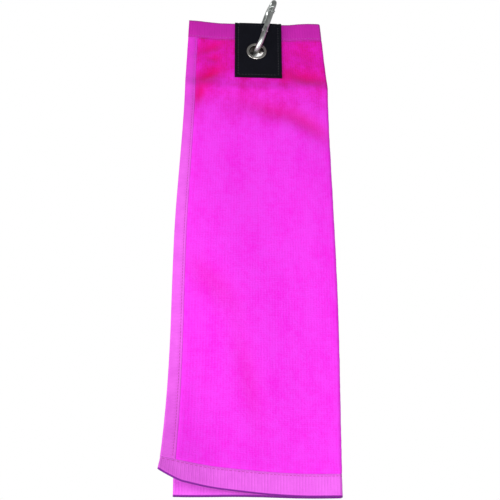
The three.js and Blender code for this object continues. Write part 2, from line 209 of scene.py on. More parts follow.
def bump(made, shader, height, distance, strength=1.0):
    new = node(made, "ShaderNodeBump", Distance=distance, Strength=strength)
    link(made, height, new.inputs["Height"])
    link(made, new.outputs["Normal"], shader.inputs["Normal"])


def depth_of(made, coordinates):
    split = node(made, "ShaderNodeSeparateXYZ")
    link(made, coordinates, split.inputs["Vector"])
    return split.outputs["Y"]


def ranged(made, value, low, high):
    """value as 0 at low and 1 at high, eased."""
    new = node(made, "ShaderNodeMapRange", interpolation_type="SMOOTHSTEP")
    new.inputs["From Min"].default_value = low
    new.inputs["From Max"].default_value = high
    link(made, value, new.inputs["Value"])
    return new.outputs["Result"]


def velour_material():
    """Cut-pile cloth: magenta below, with painted shade that darkens and reddens the head and goes deep red
    in the creases.
    """
    made, shader = material("velour", (0.93, 0.02, 0.75), 1.0)
    place = sheet_coordinates(made)
    streaked = sheet_coordinates(made, (1.6, 0.7, 1))
    brushed = noise_at(made, streaked, 30, 4, 0.6)
    patches = noise_at(made, place, 150, 3, 0.6)
    fine = noise_at(made, place, 520, 3, 0.7)
    rows = waves_at(made, place, 2.4 * MM, "X", 1.2)
    courses = waves_at(made, place, 1.9 * MM, "Y", 1.2)
    texture = summed(made, (0.40, brushed), (0.26, patches), (0.26, fine), (0.05, rows), (0.03, courses))
    low = ramp(made, texture, [(0.36, (0.94, 0.018, 0.82)), (0.56, (0.94, 0.052, 0.93))])
    # painted shade: the head ramp is darker and redder, standing in for the head leaning out of the light;
    # below_head fades it out down the cloth
    head = ramp(made, texture, [(0.40, (0.72, 0.003, 0.27)), (0.58, (0.86, 0.010, 0.62))])
    depth = depth_of(made, place)
    wander = summed(made, (1.0, depth), (0.07, brushed))
    below_head = ranged(made, wander, 0.080, 0.175)
    smooth = mixed(made, below_head, head, low)
    # painted shade: the creases' vertex shares mix the colour to deep red
    fold = node(made, "ShaderNodeAttribute", attribute_name="painted_crease_shade")
    painted_crease_shade = mixed(made, fold.outputs["Fac"], smooth, (0.76, 0.0, 0.13))
    link(made, painted_crease_shade, shader.inputs["Base Color"])
    shader.inputs["Sheen Weight"].default_value = 0.30
    shader.inputs["Sheen Roughness"].default_value = 0.45
    shader.inputs["Sheen Tint"].default_value = (1.0, 0.2, 0.95, 1)
    shader.inputs["Specular IOR Level"].default_value = 0.1
    pile = noise_at(made, place, 1500, 2, 0.6)
    height = summed(made, (0.6, fine), (0.5, pile), (0.07, rows), (0.05, courses))
    bump(made, shader, height, 0.9 * MM, 1.0)
    return made


def hem_material(name, along, shaded_top_color, color):
    """Flat woven cloth with fine ribs, with painted shade towards the towel's top and a painted shadow line
    along its bottom edge. along is the sheet direction that the ribs repeat in.
    """
    made, shader = material(name, color, 0.85)
    place = sheet_coordinates(made)
    ribs = waves_at(made, place, 1.3 * MM, along, 0.6)
    threads = waves_at(made, place, 0.55 * MM, "Y" if along == "X" else "X", 0.5)
    mottle = noise_at(made, place, 60, 3, 0.6)
    grain = noise_at(made, place, 900, 2, 0.5)
    depth = depth_of(made, place)
    # painted shade: the hem darkens towards the towel's top, where the head leans out of the light
    painted_top_shade = ranged(made, depth, 0.0, 0.20)
    base = mixed(made, painted_top_shade, shaded_top_color, color)
    shade = summed(made, (0.14, ribs), (0.12, threads), (0.50, mottle), (0.20, grain))
    tone = ramp(made, shade, [(0.3, (0.84, 0.62, 0.84)), (0.66, (1.0, 1.0, 1.0))])
    mottled = mixed(made, 1.0, base, tone, "MULTIPLY")
    # painted shadow: a dark purple line along the bottom edge, where the edge's underside is in shade
    painted_edge_shadow = ranged(made, depth, TOWEL_LENGTH - 1.3 * MM, TOWEL_LENGTH - 0.4 * MM)
    link(made, mixed(made, painted_edge_shadow, mottled, (0.24, 0.01, 0.34)), shader.inputs["Base Color"])
    shader.inputs["Sheen Weight"].default_value = 0.15
    shader.inputs["Sheen Roughness"].default_value = 0.5
    shader.inputs["Sheen Tint"].default_value = (1.0, 0.6, 1.0, 1)
    shader.inputs["Specular IOR Level"].default_value = 0.2
    height = summed(made, (0.35, ribs), (0.25, threads), (0.3, grain))
    bump(made, shader, height, 0.35 * MM, 0.8)
    return made


def thread_material(name, color):
    made, shader = material(name, color, 0.7)
    place = object_coordinates(made)
    twist = noise_at(made, place, 2500, 2, 0.5)
    darker = tuple(0.6 * c for c in color)
    link(made, ramp(made, twist, [(0.35, darker), (0.65, color)]), shader.inputs["Base Color"])
    shader.inputs["Sheen Weight"].default_value = 0.2
    bump(made, shader, twist, 0.1 * MM, 0.6)
    return made


def webbing_material():
    """Close black plain weave, faintly blue, worn a little paler on its ribs."""
    made, shader = material("webbing", (0.003, 0.004, 0.008), 0.8)
    place = sheet_coordinates(made)
    across = waves_at(made, place, 1.0 * MM, "X", 0.3)
    down = waves_at(made, place, 0.8 * MM, "Y", 0.3)
    fuzz = noise_at(made, place, 1300, 3, 0.7)
    mottle = noise_at(made, place, 55, 3, 0.6)
    weave = node(made, "ShaderNodeMath", operation="MULTIPLY")
    link(made, across, weave.inputs[0])
    link(made, down, weave.inputs[1])
    tone = summed(made, (0.35, weave.outputs[0]), (0.3, fuzz), (0.35, mottle))
    color = ramp(made, tone, [(0.25, (0.0012, 0.0012, 0.003)), (0.75, (0.007, 0.008, 0.015))])
    link(made, color, shader.inputs["Base Color"])
    shader.inputs["Sheen Weight"].default_value = 0.02
    shader.inputs["Sheen Tint"].default_value = (0.5, 0.5, 0.9, 1)
    shader.inputs["Specular IOR Level"].default_value = 0.12
    height = summed(made, (0.8, weave.outputs[0]), (0.4, fuzz))
    bump(made, shader, height, 0.3 * MM, 0.8)
    return made


def metal_material(name, color, roughness, grain, brush=(1, 1, 1)):
    """Bare metal with fine scratches along the brushing and soft smudges."""
    made, shader = material(name, color, roughness, 1.0)
    place = object_coordinates(made, brush)
    scratches = noise_at(made, place, 900, 3, 0.6)
    smudges = noise_at(made, object_coordinates(made), 90, 3, 0.6)
    tone = summed(made, (0.5, scratches), (0.5, smudges))
    darker = tuple(0.72 * c for c in color)
    link(made, ramp(made, tone, [(0.35, darker), (0.62, color)]), shader.inputs["Base Color"])
    rough = node(made, "ShaderNodeMapRange")
    rough.inputs["To Min"].default_value = roughness * 0.7
    rough.inputs["To Max"].default_value = roughness * 1.5
    link(made, tone, rough.inputs["Value"])
    link(made, rough.outputs["Result"], shader.inputs["Roughness"])
    bump(made, shader, scratches, grain, 0.5)
    return made


def nickel_material():
    """Polished nickel, with painted shade near black inside the barrel."""
    made = metal_material("nickel", (0.80, 0.77, 0.73), 0.16, 0.03 * MM)
    shader = made.node_tree.nodes["Principled BSDF"]
    polished = shader.inputs["Base Color"].links[0].from_socket
    place = node(made, "ShaderNodeTexCoord")
    centred = node(made, "ShaderNodeMapping")
    centred.inputs["Location"].default_value = (-EYELET[0], 0, -EYELET[2])
    centred.inputs["Scale"].default_value = (1, 0, 1)
    link(made, place.outputs["Object"], centred.inputs["Vector"])
    radius = node(made, "ShaderNodeVectorMath", operation="LENGTH")
    link(made, centred.outputs["Vector"], radius.inputs[0])
    # painted shade: near black inside the barrel, by the distance from the eyelet's axis
    outside = ranged(made, radius.outputs["Value"], EYELET_HOLE + 0.1 * MM, EYELET_HOLE + 0.9 * MM)
    link(made, mixed(made, outside, (0.030, 0.018, 0.014), polished), shader.inputs["Base Color"])
    return made


VELOUR = velour_material()
# each hem's first colour is its painted shade at the towel's top
END_HEM_CLOTH = hem_material("end_hem_cloth", "X", (0.64, 0.014, 0.47), (0.93, 0.16, 0.93))
SIDE_HEM_CLOTH = hem_material("side_hem_cloth", "Y", (0.86, 0.035, 0.74), (0.95, 0.15, 0.94))
HEM_THREAD = thread_material("hem_thread", (0.70, 0.03, 0.58))
WEBBING = webbing_material()
PATCH_THREAD = thread_material("patch_thread", (0.012, 0.013, 0.020))
NICKEL = nickel_material()
ALUMINIUM = metal_material("aluminium", (0.88, 0.93, 0.90), 0.31, 0.05 * MM, (1, 1, 0.15))
STEEL = metal_material("steel", (0.56, 0.56, 0.57), 0.24, 0.03 * MM)


# ---- pieces ----


def piece(name, vertices, faces, finish, body, slot, *nodes, smooth=True, place=None):
    """A mesh piece that stands for CAD nodes and rides on their body."""
    mesh = bpy.data.meshes.new(name)
    mesh.from_pydata([tuple(v) for v in vertices], [], [tuple(f) for f in faces])
    if place is not None:
        stored = mesh.attributes.new("sheet_place", "FLOAT_VECTOR", "POINT")
        stored.data.foreach_set("vector", np.asarray(place, dtype=np.float32).ravel())
    mesh.update()
    made = bpy.data.objects.new(name, mesh)
    bpy.context.scene.collection.objects.link(made)
    return settle(made, finish, body, slot, *nodes, smooth=smooth)


def settle(made, finish, body, slot, *nodes, smooth=True):
    made.data.materials.clear()
    made.data.materials.append(finish)
    for polygon in made.data.polygons:
        polygon.use_smooth = smooth
    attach(made, body)
    if nodes:
        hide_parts(*nodes)
    return made


def solidify(made, thickness):
    shell = made.modifiers.new("thickness", "SOLIDIFY")
    shell.thickness = thickness
    shell.offset = 0
    return made


def grid_faces(rows, columns):
    """Quads of a grid whose vertices run along the columns first."""
    first = np.arange(rows - 1)[:, None] * columns + np.arange(columns - 1)[None, :]
    first = first.ravel()
    return np.stack([first, first + 1, first + columns + 1, first + columns], axis=1)


# ---- folded cloth ----

RIGHT_FOLD_X = HALF - LEAF_PITCH - FOLD_EDGE
LEFT_FOLD_X = -HALF + LEAF_PITCH / 2 + FOLD_EDGE
STRETCHES = [
    RIGHT_FOLD_X + HALF,
    math.pi * LEAF_PITCH,
    RIGHT_FOLD_X - LEFT_FOLD_X,
    math.pi * LEAF_PITCH / 2,
    RIGHT_FOLD_X - INNER_LEAF_SHORT - LEFT_FOLD_X,
]
STRETCH_ENDS = np.cumsum(STRETCHES)
FLAT_WIDTH = float(STRETCH_ENDS[-1])


def fold(s):
    """Place and outward normal on the fold line, seen from above, at s metres from the front free edge."""
    ends = STRETCH_ENDS
    right_turn = (s - ends[0]) / LEAF_PITCH - math.pi / 2
    left_turn = (s - ends[2]) / (LEAF_PITCH / 2) + math.pi / 2
    on = [s <= ends[0], s <= ends[1], s <= ends[2], s <= ends[3]]
    x = np.select(
        on,
        [
            s - HALF,
            RIGHT_FOLD_X + LEAF_PITCH * np.cos(right_turn),
            RIGHT_FOLD_X - (s - ends[1]),
            LEFT_FOLD_X + LEAF_PITCH / 2 * np.cos(left_turn),
        ],
        LEFT_FOLD_X + (s - ends[3]),
    )
    y = np.select(
        on,
        [
            np.full_like(s, -LEAF_PITCH),
            LEAF_PITCH * np.sin(right_turn),
            np.full_like(s, LEAF_PITCH),
            LEAF_PITCH / 2 + LEAF_PITCH / 2 * np.sin(left_turn),
        ],
        0.0,
    )
    normal_x = np.select(on, [0 * s, np.cos(right_turn), 0 * s, np.cos(left_turn)], 0.0)
    normal_y = np.select(on, [0 * s - 1, np.sin(right_turn), 0 * s + 1, np.sin(left_turn)], -1.0)
    return x, y, normal_x, normal_y


def smooth_step(value, low, high):
    t = np.clip((value - low) / (high - low), 0, 1)
    return t * t * (3 - 2 * t)


def bell(value, centre, width):
    return np.exp(-(((value - centre) / width) ** 2))


# Creases: middle (across from the centre line, depth), half-sizes along and across, slant and weight.
CREASES = [
    ((-47 * MM, 31 * MM), (14 * MM, 6 * MM), 30, 0.9),
    ((-43 * MM, 45 * MM), (9 * MM, 5 * MM), 5, 0.55),
    ((-46 * MM, 64 * MM), (16 * MM, 6.5 * MM), 35, 1.0),
    ((-56 * MM, 88 * MM), (13 * MM, 6 * MM), 78, 0.9),
    ((44 * MM, 36 * MM), (24 * MM, 10 * MM), -30, 0.3),
    ((47 * MM, 66 * MM), (28 * MM, 9 * MM), -6, 0.85),
    ((14 * MM, 107 * MM), (30 * MM, 10 * MM), -18, 0.5),
    ((52 * MM, 124 * MM), (28 * MM, 10 * MM), -42, 0.55),
    ((-38 * MM, 300 * MM), (34 * MM, 12 * MM), -55, 0.25),
    ((-8 * MM, 392 * MM), (46 * MM, 9 * MM), -80, 0.22),
]


def crease_shares(x, depth):
    """How far a point is into each crease, from 0 to 1."""
    shares = []
    for middle, half_size, slant, weight in CREASES:
        cos, sin = math.cos(math.radians(slant)), math.sin(math.radians(slant))
        right, up = x - middle[0], middle[1] - depth
        along = (right * cos + up * sin) / half_size[0]
        across = (up * cos - right * sin) / half_size[1]
        shares.append(weight * np.exp(-(along**2) - across**2))
    return shares


def crease_shade(x, y, depth):
    """How much painted crease shade shows, in the creases' deep red, on the front leaf only."""
    front = y < -LEAF_PITCH / 2
    return np.clip(np.where(front, sum(crease_shares(x, depth)), 0), 0, 1) * 0.82


def creases(x, depth):
    """How far the whole folded towel is pushed back, where it is not held flat by the patch."""
    from_patch = np.maximum(np.abs(x - PATCH_OFFSET) - PATCH_WIDTH / 2, depth - 66 * MM)
    free = smooth_step(from_patch, 2 * MM, 22 * MM)
    folds = 3.0 * MM * sum(crease_shares(x, depth))
    to_corner = smooth_step(np.abs(x + 4 * MM), 30 * MM, 66 * MM) * smooth_step(-depth, -45 * MM, 0)
    corners = -3.2 * MM * to_corner
    shelf = -2.6 * MM * bell(depth, 80 * MM, 9 * MM)
    long_waves = 1.3 * MM * np.sin(x / (17 * MM) + 1.1 * np.sin(depth / (95 * MM)))
    low_swell = 1.5 * MM * np.sin(depth / (58 * MM) + x / (60 * MM))
    drop = smooth_step(depth, 90 * MM, 200 * MM)
    return free * (folds + corners + shelf + drop * (long_waves + low_swell))


def hang(x, y, depth):
    """World places of the folded towel's points: x across, y from its mid-plane to the back, depth down."""
    front = (y < -LEAF_PITCH / 2) & (x < HALF - 2 * LEAF_PITCH)
    across = np.where(front, np.clip(1 - (x + HALF) / FLARE_WIDTH, 0, None) ** 3, 0)
    down = (np.clip(depth - FLARE_DEPTH, 0, None) / (TOWEL_LENGTH - FLARE_DEPTH)) ** 2
    edge = smooth_step(depth, TAPER_DEPTH, EDGE_OUT_DEPTH)
    taper = np.clip(1 - depth / TAPER_DEPTH, 0, None)
    waved = 1.2 * MM * np.sin(x / (6.5 * MM)) * smooth_step(depth, 440 * MM, TOWEL_LENGTH)
    ripple = np.where(front, waved, 0)
    corner = np.where(front, np.clip(1 - (x + HALF) / CORNER_WIDTH, 0, None) ** 1.3, 0)
    curled = CORNER_UP * corner * smooth_step(depth, TOWEL_LENGTH - END_HEM, TOWEL_LENGTH)
    narrowed = x * (1 - TAPER_SHARE * taper) - TAPER_SHIFT * taper
    narrowed = narrowed + bell(depth, 330 * MM, 130 * MM) * np.where(x > 0, 2.6 * MM, 1.4 * MM) * x / HALF
    world_x = EYELET[0] + narrowed - across * (EDGE_OUT * edge + FLARE_OUT * down)
    world_y = EYELET[1] + y + creases(x, depth) - across * (down * FLARE_FORWARD - ripple)
    world_z = EYELET[2] + EYELET_DEPTH - depth + across * down * FLARE_UP + curled
    return np.stack([world_x, world_y, world_z], axis=-1)


def cloth_points(s, depth, lift=0.0):
    """World places at s across the cut cloth and depth down it, lifted off its outer side."""
    x, y, normal_x, normal_y = fold(s)
    return hang(x + normal_x * lift, y + normal_y * lift, depth)


def stops(start, end, spacing):
    """Even stops that also hit every end of a fold, close together in the folds."""
    marks = [start, *[m for m in STRETCH_ENDS if start < m < end], end]
    values = [np.array([start])]
    for a, b in zip(marks[:-1], marks[1:]):
        middle = (a + b) / 2
        folded = STRETCH_ENDS[0] < middle < STRETCH_ENDS[1] or STRETCH_ENDS[2] < middle < STRETCH_ENDS[3]
        count = 10 if folded else max(1, round((b - a) / spacing))
        values.append(np.linspace(a, b, count + 1)[1:])
    return np.concatenate(values)


def cloth(name, span, reach, spacing, relief, finish, slot, thickness, with_hole=False):
    """A stretch of the folded cloth as a thin closed shell."""
    s = stops(*span, spacing[0])
    depth = np.linspace(*reach, max(2, round((reach[1] - reach[0]) / spacing[1]) + 1))
    grid_s, grid_depth = np.meshgrid(s, depth)
    points = cloth_points(grid_s, grid_depth, relief(grid_s, grid_depth)).reshape(-1, 3)
    place = np.stack([grid_s, grid_depth, 0 * grid_s], axis=-1).reshape(-1, 3)
    faces = grid_faces(len(depth), len(s))
    if with_hole:
        points, place, faces = cut_eyelet(points, place, faces)
    made = piece(name, points, faces, finish, "towel", slot, name.removesuffix("_look"), place=place)
    # painted shade for the creases, stored on the velour's vertices
    if finish is VELOUR:
        crease_painted_shade = crease_shade(*fold(place[:, 0])[:2], place[:, 1])
        stored = made.data.attributes.new("painted_crease_shade", "FLOAT", "POINT")
        stored.data.foreach_set("value", crease_painted_shade.astype(np.float32))
    return solidify(made, thickness)


def cut_eyelet(points, place, faces):
    """Drops what lies inside the eyelet and draws the edge that is left onto a circle under its flange."""
    away = points - EYELET
    across, height = away[:, 0], away[:, 2]
    radius = np.hypot(across, height)
    kept = radius[faces].mean(axis=1) > EYELET_CLEAR
    removed_corners = set(faces[~kept].ravel().tolist())
    faces = faces[kept]
    edge = sorted(removed_corners & set(faces.ravel().tolist()))
    for i in edge:
        stretch = EYELET_CLEAR / radius[i]
        points[i, [0, 2]] = EYELET[[0, 2]] + stretch * away[i, [0, 2]]
    used, numbers = np.unique(faces, return_inverse=True)
    return points[used], place[used], numbers.reshape(faces.shape)


def noise_field(s, depth, scale, seed):
    """Smooth noise over the sheet, about -1 to 1."""
    flat = [
        noise.noise(Vector((a / scale, b / scale, seed)))
        for a, b in zip(np.ravel(s), np.ravel(depth))
    ]
    return np.array(flat).reshape(np.shape(s))


def pile_relief(s, depth):
    """Tufts of pile and the soft edge where the cloth runs into a hem."""
    tufts = 0.12 * MM * noise_field(s, depth, 2.6 * MM, 3.0) + 0.18 * MM * noise_field(s, depth, 9 * MM, 7.0)
    to_side = np.minimum(s - SIDE_HEM, FLAT_WIDTH - SIDE_HEM - s)
    to_end = np.minimum(depth - END_HEM, TOWEL_LENGTH - END_HEM - depth)
    pinch = np.minimum(to_side, to_end)
    return tufts - 0.35 * MM * np.exp(-np.clip(pinch, 0, None) / (1.6 * MM))


def end_hem_relief(s, depth):
    """Upright ribs, with a groove along the line of stitching."""
    line = np.minimum(np.abs(depth - END_HEM + 2 * MM), np.abs(depth - TOWEL_LENGTH + END_HEM - 2 * MM))
    groove = -0.35 * MM * bell(line, 0, 1.2 * MM)
    ribs = 0.10 * MM * np.sin(2 * math.pi * s / (2.6 * MM))
    return ribs + groove + 0.12 * MM * noise_field(s, depth, 5 * MM, 11.0)


def side_hem_relief(s, depth):
    line = np.minimum(np.abs(s - SIDE_HEM + 2 * MM), np.abs(FLAT_WIDTH - SIDE_HEM + 2 * MM - s))
    puckers = 0.14 * MM * np.sin(2 * math.pi * depth / (3.2 * MM)) * bell(line, 0, 3 * MM)
    return puckers - 0.35 * MM * bell(line, 0, 1.2 * MM) + 0.12 * MM * noise_field(s, depth, 6 * MM, 17.0)


def towel_pieces():
    body = cloth(
        "towel_cloth_look",
        (SIDE_HEM, FLAT_WIDTH - SIDE_HEM),
        (END_HEM, TOWEL_LENGTH - END_HEM),
        (2.2 * MM, 2.2 * MM),
        pile_relief,
        VELOUR,
        "velour",
        PILE_THICKNESS,
        with_hole=True,
    )
    whole = (0, FLAT_WIDTH)
    between_hems = (END_HEM, TOWEL_LENGTH - END_HEM)
    ribbed = ((0.65 * MM, 1.6 * MM), end_hem_relief, END_HEM_CLOTH)
    plain = (side_hem_relief, SIDE_HEM_CLOTH)
    hems = [
        cloth(name, span, reach, spacing, relief, finish, "hem_cloth", HEM_THICKNESS)
        for name, span, reach, spacing, relief, finish in (
            ("top_hem_look", whole, (0, END_HEM), *ribbed),
            ("bottom_hem_look", whole, (TOWEL_LENGTH - END_HEM, TOWEL_LENGTH), *ribbed),
            ("front_side_hem_look", (0, SIDE_HEM), between_hems, (0.8 * MM, 0.8 * MM), *plain),
            (
                "inner_side_hem_look",
                (FLAT_WIDTH - SIDE_HEM, FLAT_WIDTH),
                between_hems,
                (1.2 * MM, 1.6 * MM),
                *plain,
            ),
        )
    ]
    return body, hems


# ---- stitching ----

THREAD_RADIUS = 0.28 * MM
STITCH_PITCH = 3.2 * MM
STITCH_SHARE = 0.78  # of the pitch that shows as thread


def tubes(paths, radius, sides=6):
    """Closed tubes of that radius along each path of points, their ends drawn in."""
    vertices, faces = [], []
    for path in paths:
        path = np.asarray(path)
        count = len(path)
        along = np.gradient(path, axis=0)
        along /= np.linalg.norm(along, axis=1)[:, None]
        side = np.cross(along, along[0] + np.array([0.31, 0.52, 0.79]))
        side /= np.linalg.norm(side, axis=1)[:, None]
        third = np.cross(along, side)
        taper = np.sqrt(np.clip(1 - np.linspace(-0.93, 0.93, count) ** 4, 0.05, 1))
        base = len(vertices)
        for i in range(count):
            for k in range(sides):
                angle = 2 * math.pi * k / sides
                spoke = math.cos(angle) * side[i] + math.sin(angle) * third[i]
                vertices.append(path[i] + radius * taper[i] * spoke)
        for i in range(count - 1):
            for k in range(sides):
                a, b = base + i * sides + k, base + i * sides + (k + 1) % sides
                faces.append((a, b, b + sides, a + sides))
        faces.append(tuple(base + k for k in reversed(range(sides))))
        faces.append(tuple(base + (count - 1) * sides + k for k in range(sides)))
    return vertices, faces


def stitches(start, end, place_at, rise):
    """Paths of single stitches from start to end. place_at(t, lift) gives a place t metres along."""
    paths = []
    t = start
    while t + STITCH_PITCH * STITCH_SHARE < end:
        along = np.linspace(t, t + STITCH_PITCH * STITCH_SHARE, 7)
        lift = rise - 0.45 * MM * np.linspace(-1, 1, 7) ** 4
        paths.append(place_at(along, lift))
        t += STITCH_PITCH
    return paths


def cloth_stitching(name, start, end, place_at):
    paths = stitches(start, end, place_at, HEM_THICKNESS / 2 - 0.05 * MM)
    vertices, faces = tubes(paths, THREAD_RADIUS)
    return piece(name + "_look", vertices, faces, HEM_THREAD, "towel", "hem_thread", name)


def stitching_across(name, depth):
    """A line of stitches across the front leaf, round the first fold and across the back, at one depth."""
    return cloth_stitching(
        name, 1 * MM, STRETCH_ENDS[2], lambda t, lift: cloth_points(t, 0 * t + depth, lift)
    )


def stitching_down(name, s):
    """A line of stitches down the cloth between its end hems, at one place across it."""
    return cloth_stitching(
        name, END_HEM, TOWEL_LENGTH - END_HEM, lambda t, lift: cloth_points(0 * t + s, t, lift)
    )


def hem_stitching():
    return [
        stitching_across("top_hem_stitching", END_HEM - HEM_STITCH_INSET),
        stitching_across("bottom_hem_stitching", TOWEL_LENGTH - END_HEM + HEM_STITCH_INSET),
        stitching_down("front_side_stitching", SIDE_HEM - HEM_STITCH_INSET),
    ]


# ---- patch ----


def at_eyelet(x, y, z):
    """World places of points drawn round the eyelet's centre, with y through the towel."""
    return np.stack([EYELET[0] + x, EYELET[1] + y, EYELET[2] + z], axis=-1)


PATCH_TOP = EYELET_DEPTH + 0.6 * MM
PATCH_BOTTOM = EYELET_DEPTH - PATCH_HEIGHT
PATCH_BEND = 1.3 * MM


def patch_points(x, along, lift=0.0):
    """World places on the strap: x across it, along from its front bottom edge over the top to the back."""
    rise = PATCH_TOP - PATCH_BEND - PATCH_BOTTOM
    quarter = math.pi / 2 * PATCH_BEND
    flat = 2 * (PATCH_MIDDLE - PATCH_BEND)
    ends = np.cumsum([rise, quarter, flat, quarter])
    first = (along - ends[0]) / PATCH_BEND
    second = (along - ends[2]) / PATCH_BEND
    on = [along <= ends[0], along <= ends[1], along <= ends[2], along <= ends[3]]
    shoulder = PATCH_MIDDLE - PATCH_BEND
    y = np.select(
        on,
        [
            0 * along - PATCH_MIDDLE,
            -shoulder - PATCH_BEND * np.cos(first),
            -shoulder + (along - ends[1]),
            shoulder + PATCH_BEND * np.sin(second),
        ],
        PATCH_MIDDLE,
    )
    z = np.select(
        on,
        [
            PATCH_BOTTOM + along,
            PATCH_TOP - PATCH_BEND + PATCH_BEND * np.sin(first),
            0 * along + PATCH_TOP,
            PATCH_TOP - PATCH_BEND + PATCH_BEND * np.cos(second),
        ],
        PATCH_TOP - PATCH_BEND - (along - ends[3]),
    )
    normal_y = np.select(on, [0 * along - 1, -np.cos(first), 0 * along, np.sin(second)], 1.0)
    normal_z = np.select(on, [0 * along, np.sin(first), 0 * along + 1, np.cos(second)], 0.0)
    return at_eyelet(PATCH_OFFSET + x, y + normal_y * lift, z + normal_z * lift)


PATCH_RISE = PATCH_TOP - PATCH_BEND - PATCH_BOTTOM
PATCH_SPAN = 2 * PATCH_RISE + math.pi * PATCH_BEND + 2 * (PATCH_MIDDLE - PATCH_BEND)


def patch_relief(x, along):
    """Thicker turned edges, a groove under the stitching, and a slight quilting between them."""
    to_side = PATCH_WIDTH / 2 - np.abs(x)
    to_end = np.minimum(along, PATCH_SPAN - along)
    near = np.minimum(to_side, to_end)
    from_top = smooth_step(np.abs(along - PATCH_SPAN / 2), 6 * MM, 14 * MM)
    edge = 0.30 * MM * bell(near, 1.5 * MM, 1.6 * MM) * from_top
    groove = -0.35 * MM * bell(near, STITCH_INSET, 0.8 * MM)
    puckers = 0.08 * MM * np.sin(2 * math.pi * along / (3.2 * MM)) * bell(near, STITCH_INSET, 3 * MM)
    return edge + groove + puckers + 0.10 * MM * noise_field(x, along, 8 * MM, 23.0)


def patch_piece():
    x = np.linspace(-PATCH_WIDTH / 2, PATCH_WIDTH / 2, 60)
    along = np.linspace(0, PATCH_SPAN, 190)
    grid_x, grid_along = np.meshgrid(x, along)
    points = patch_points(grid_x, grid_along, patch_relief(grid_x, grid_along)).reshape(-1, 3)
    place = np.stack([grid_x, grid_along, 0 * grid_x], axis=-1).reshape(-1, 3)
    points, place, faces = cut_eyelet(points, place, grid_faces(len(along), len(x)))
    made = piece("patch_look", points, faces, WEBBING, "towel", "webbing", "patch", place=place)
    return solidify(made, PATCH_THICKNESS)


def patch_stitching(name, start, end):
    """A rectangle of stitches on one face, between two places along the strap."""
    reach = PATCH_WIDTH / 2 - STITCH_INSET
    rise = PATCH_THICKNESS / 2 - 0.2 * MM
    paths = []
    for side in (-reach, reach):
        paths += stitches(start, end, lambda t, up, x=side: patch_points(0 * t + x, t, up), rise)
    for row in (start, end):
        paths += stitches(-reach, reach, lambda t, up, a=row: patch_points(t, 0 * t + a, up), rise)
    vertices, faces = tubes(paths, THREAD_RADIUS)
    return piece(name + "_look", vertices, faces, PATCH_THREAD, "towel", "patch_thread", name)


# ---- turned and swept metal ----


def lathe(name, profile, segments, place, finish, body, slot, *nodes):
    """Turns a closed profile of (radius, height) points. place(x, y, z) puts points in the world."""
    vertices, faces = [], []
    count = len(profile)
    for k in range(segments):
        angle = 2 * math.pi * k / segments
        for radius, height in profile:
            vertices.append(place(radius * math.cos(angle), height, radius * math.sin(angle)))
    for k in range(segments):
        following = (k + 1) % segments
        for i in range(count):
            j = (i + 1) % count
            faces.append((k * count + i, k * count + j, following * count + j, following * count + i))
    made = piece(name, vertices, faces, finish, body, slot, *nodes)
    face_outwards(made)
    return made


def face_outwards(made):
    work = bmesh.new()
    work.from_mesh(made.data)
    bmesh.ops.recalc_face_normals(work, faces=work.faces)
    work.to_mesh(made.data)
    work.free()


def arc_points(centre, radius, start, end, count):
    angles = [math.radians(start + (end - start) * i / (count - 1)) for i in range(count)]
    return [(centre[0] + radius * math.cos(a), centre[1] + radius * math.sin(a)) for a in angles]


PATCH_FACE = 4.3 * MM


def eyelet_pieces():
    """Front half with a rolled rim and the barrel; back washer with the barrel's end curled over it."""
    crown = 0.75 * MM
    rim = 0.55 * MM
    face = -PATCH_FACE - 0.2 * MM
    inner = arc_points((EYELET_HOLE + 1.2 * MM, face - crown + 0.75 * MM), 1.2 * MM, 180, 270, 8)
    outer = arc_points((EYELET_RIM - rim, face - rim), rim, 270, 450, 10)
    curl_centre = (EYELET_BARREL + 0.5 * MM, PATCH_FACE + 1.6 * MM)
    profile = [
        *inner,
        (EYELET_RIM - 1.6 * MM, face - crown - 0.35 * MM),
        *outer,
        (EYELET_BARREL, face + 0.1 * MM),
        (EYELET_BARREL, PATCH_FACE + 1.3 * MM),
        *arc_points(curl_centre, 0.45 * MM, 180, -40, 7),
        *reversed(arc_points(curl_centre, 0.8 * MM, 180, -40, 9)),
    ]
    front = lathe("eyelet_look", profile, 72, at_eyelet, NICKEL, "towel", "nickel", "eyelet")
    back = PATCH_FACE + 0.15 * MM
    washer = [
        (EYELET_BARREL + 0.1 * MM, back),
        (EYELET_RIM, back),
        *arc_points((EYELET_RIM - 0.5 * MM, back + 0.4 * MM), 0.5 * MM, 0, 90, 6),
        (EYELET_BARREL + 1.6 * MM, back + 0.8 * MM),
        (EYELET_BARREL + 0.1 * MM, back + 0.6 * MM),
    ]
    ring = lathe(
        "eyelet_washer_look", washer, 72, at_eyelet, NICKEL, "towel", "nickel", "eyelet_washer"
    )
    return front, ring


# ---- carabiner, drawn in its loop plane: x towards the gate, z up ----

WIRE = 2.6 * MM
LOOP_LENGTH = 69 * MM
LOOP_WIDTH = 32 * MM
SPINE_CORNER = 8 * MM
GATE_CORNER = 12 * MM
LOOP_FRAME = (
    Matrix.Rotation(math.radians(15.5), 4, "Y") @ Matrix.Rotation(math.radians(-74), 4, "Z")
)
WIRE_BOTTOM = 3 * WIRE - LOOP_LENGTH
SIDE = LOOP_WIDTH / 2 - WIRE
HINGE_Z = -15 * MM
NOSE_Z = HINGE_Z - 26 * MM
GATE_END = 3 * MM
END_GAP = 0.9 * MM
TONGUE_HALF = 2.2 * MM
TONGUE_THICKNESS = 1.6 * MM


def in_loop(x, y, z):
    return LOOP_FRAME @ Vector((x, y, z))


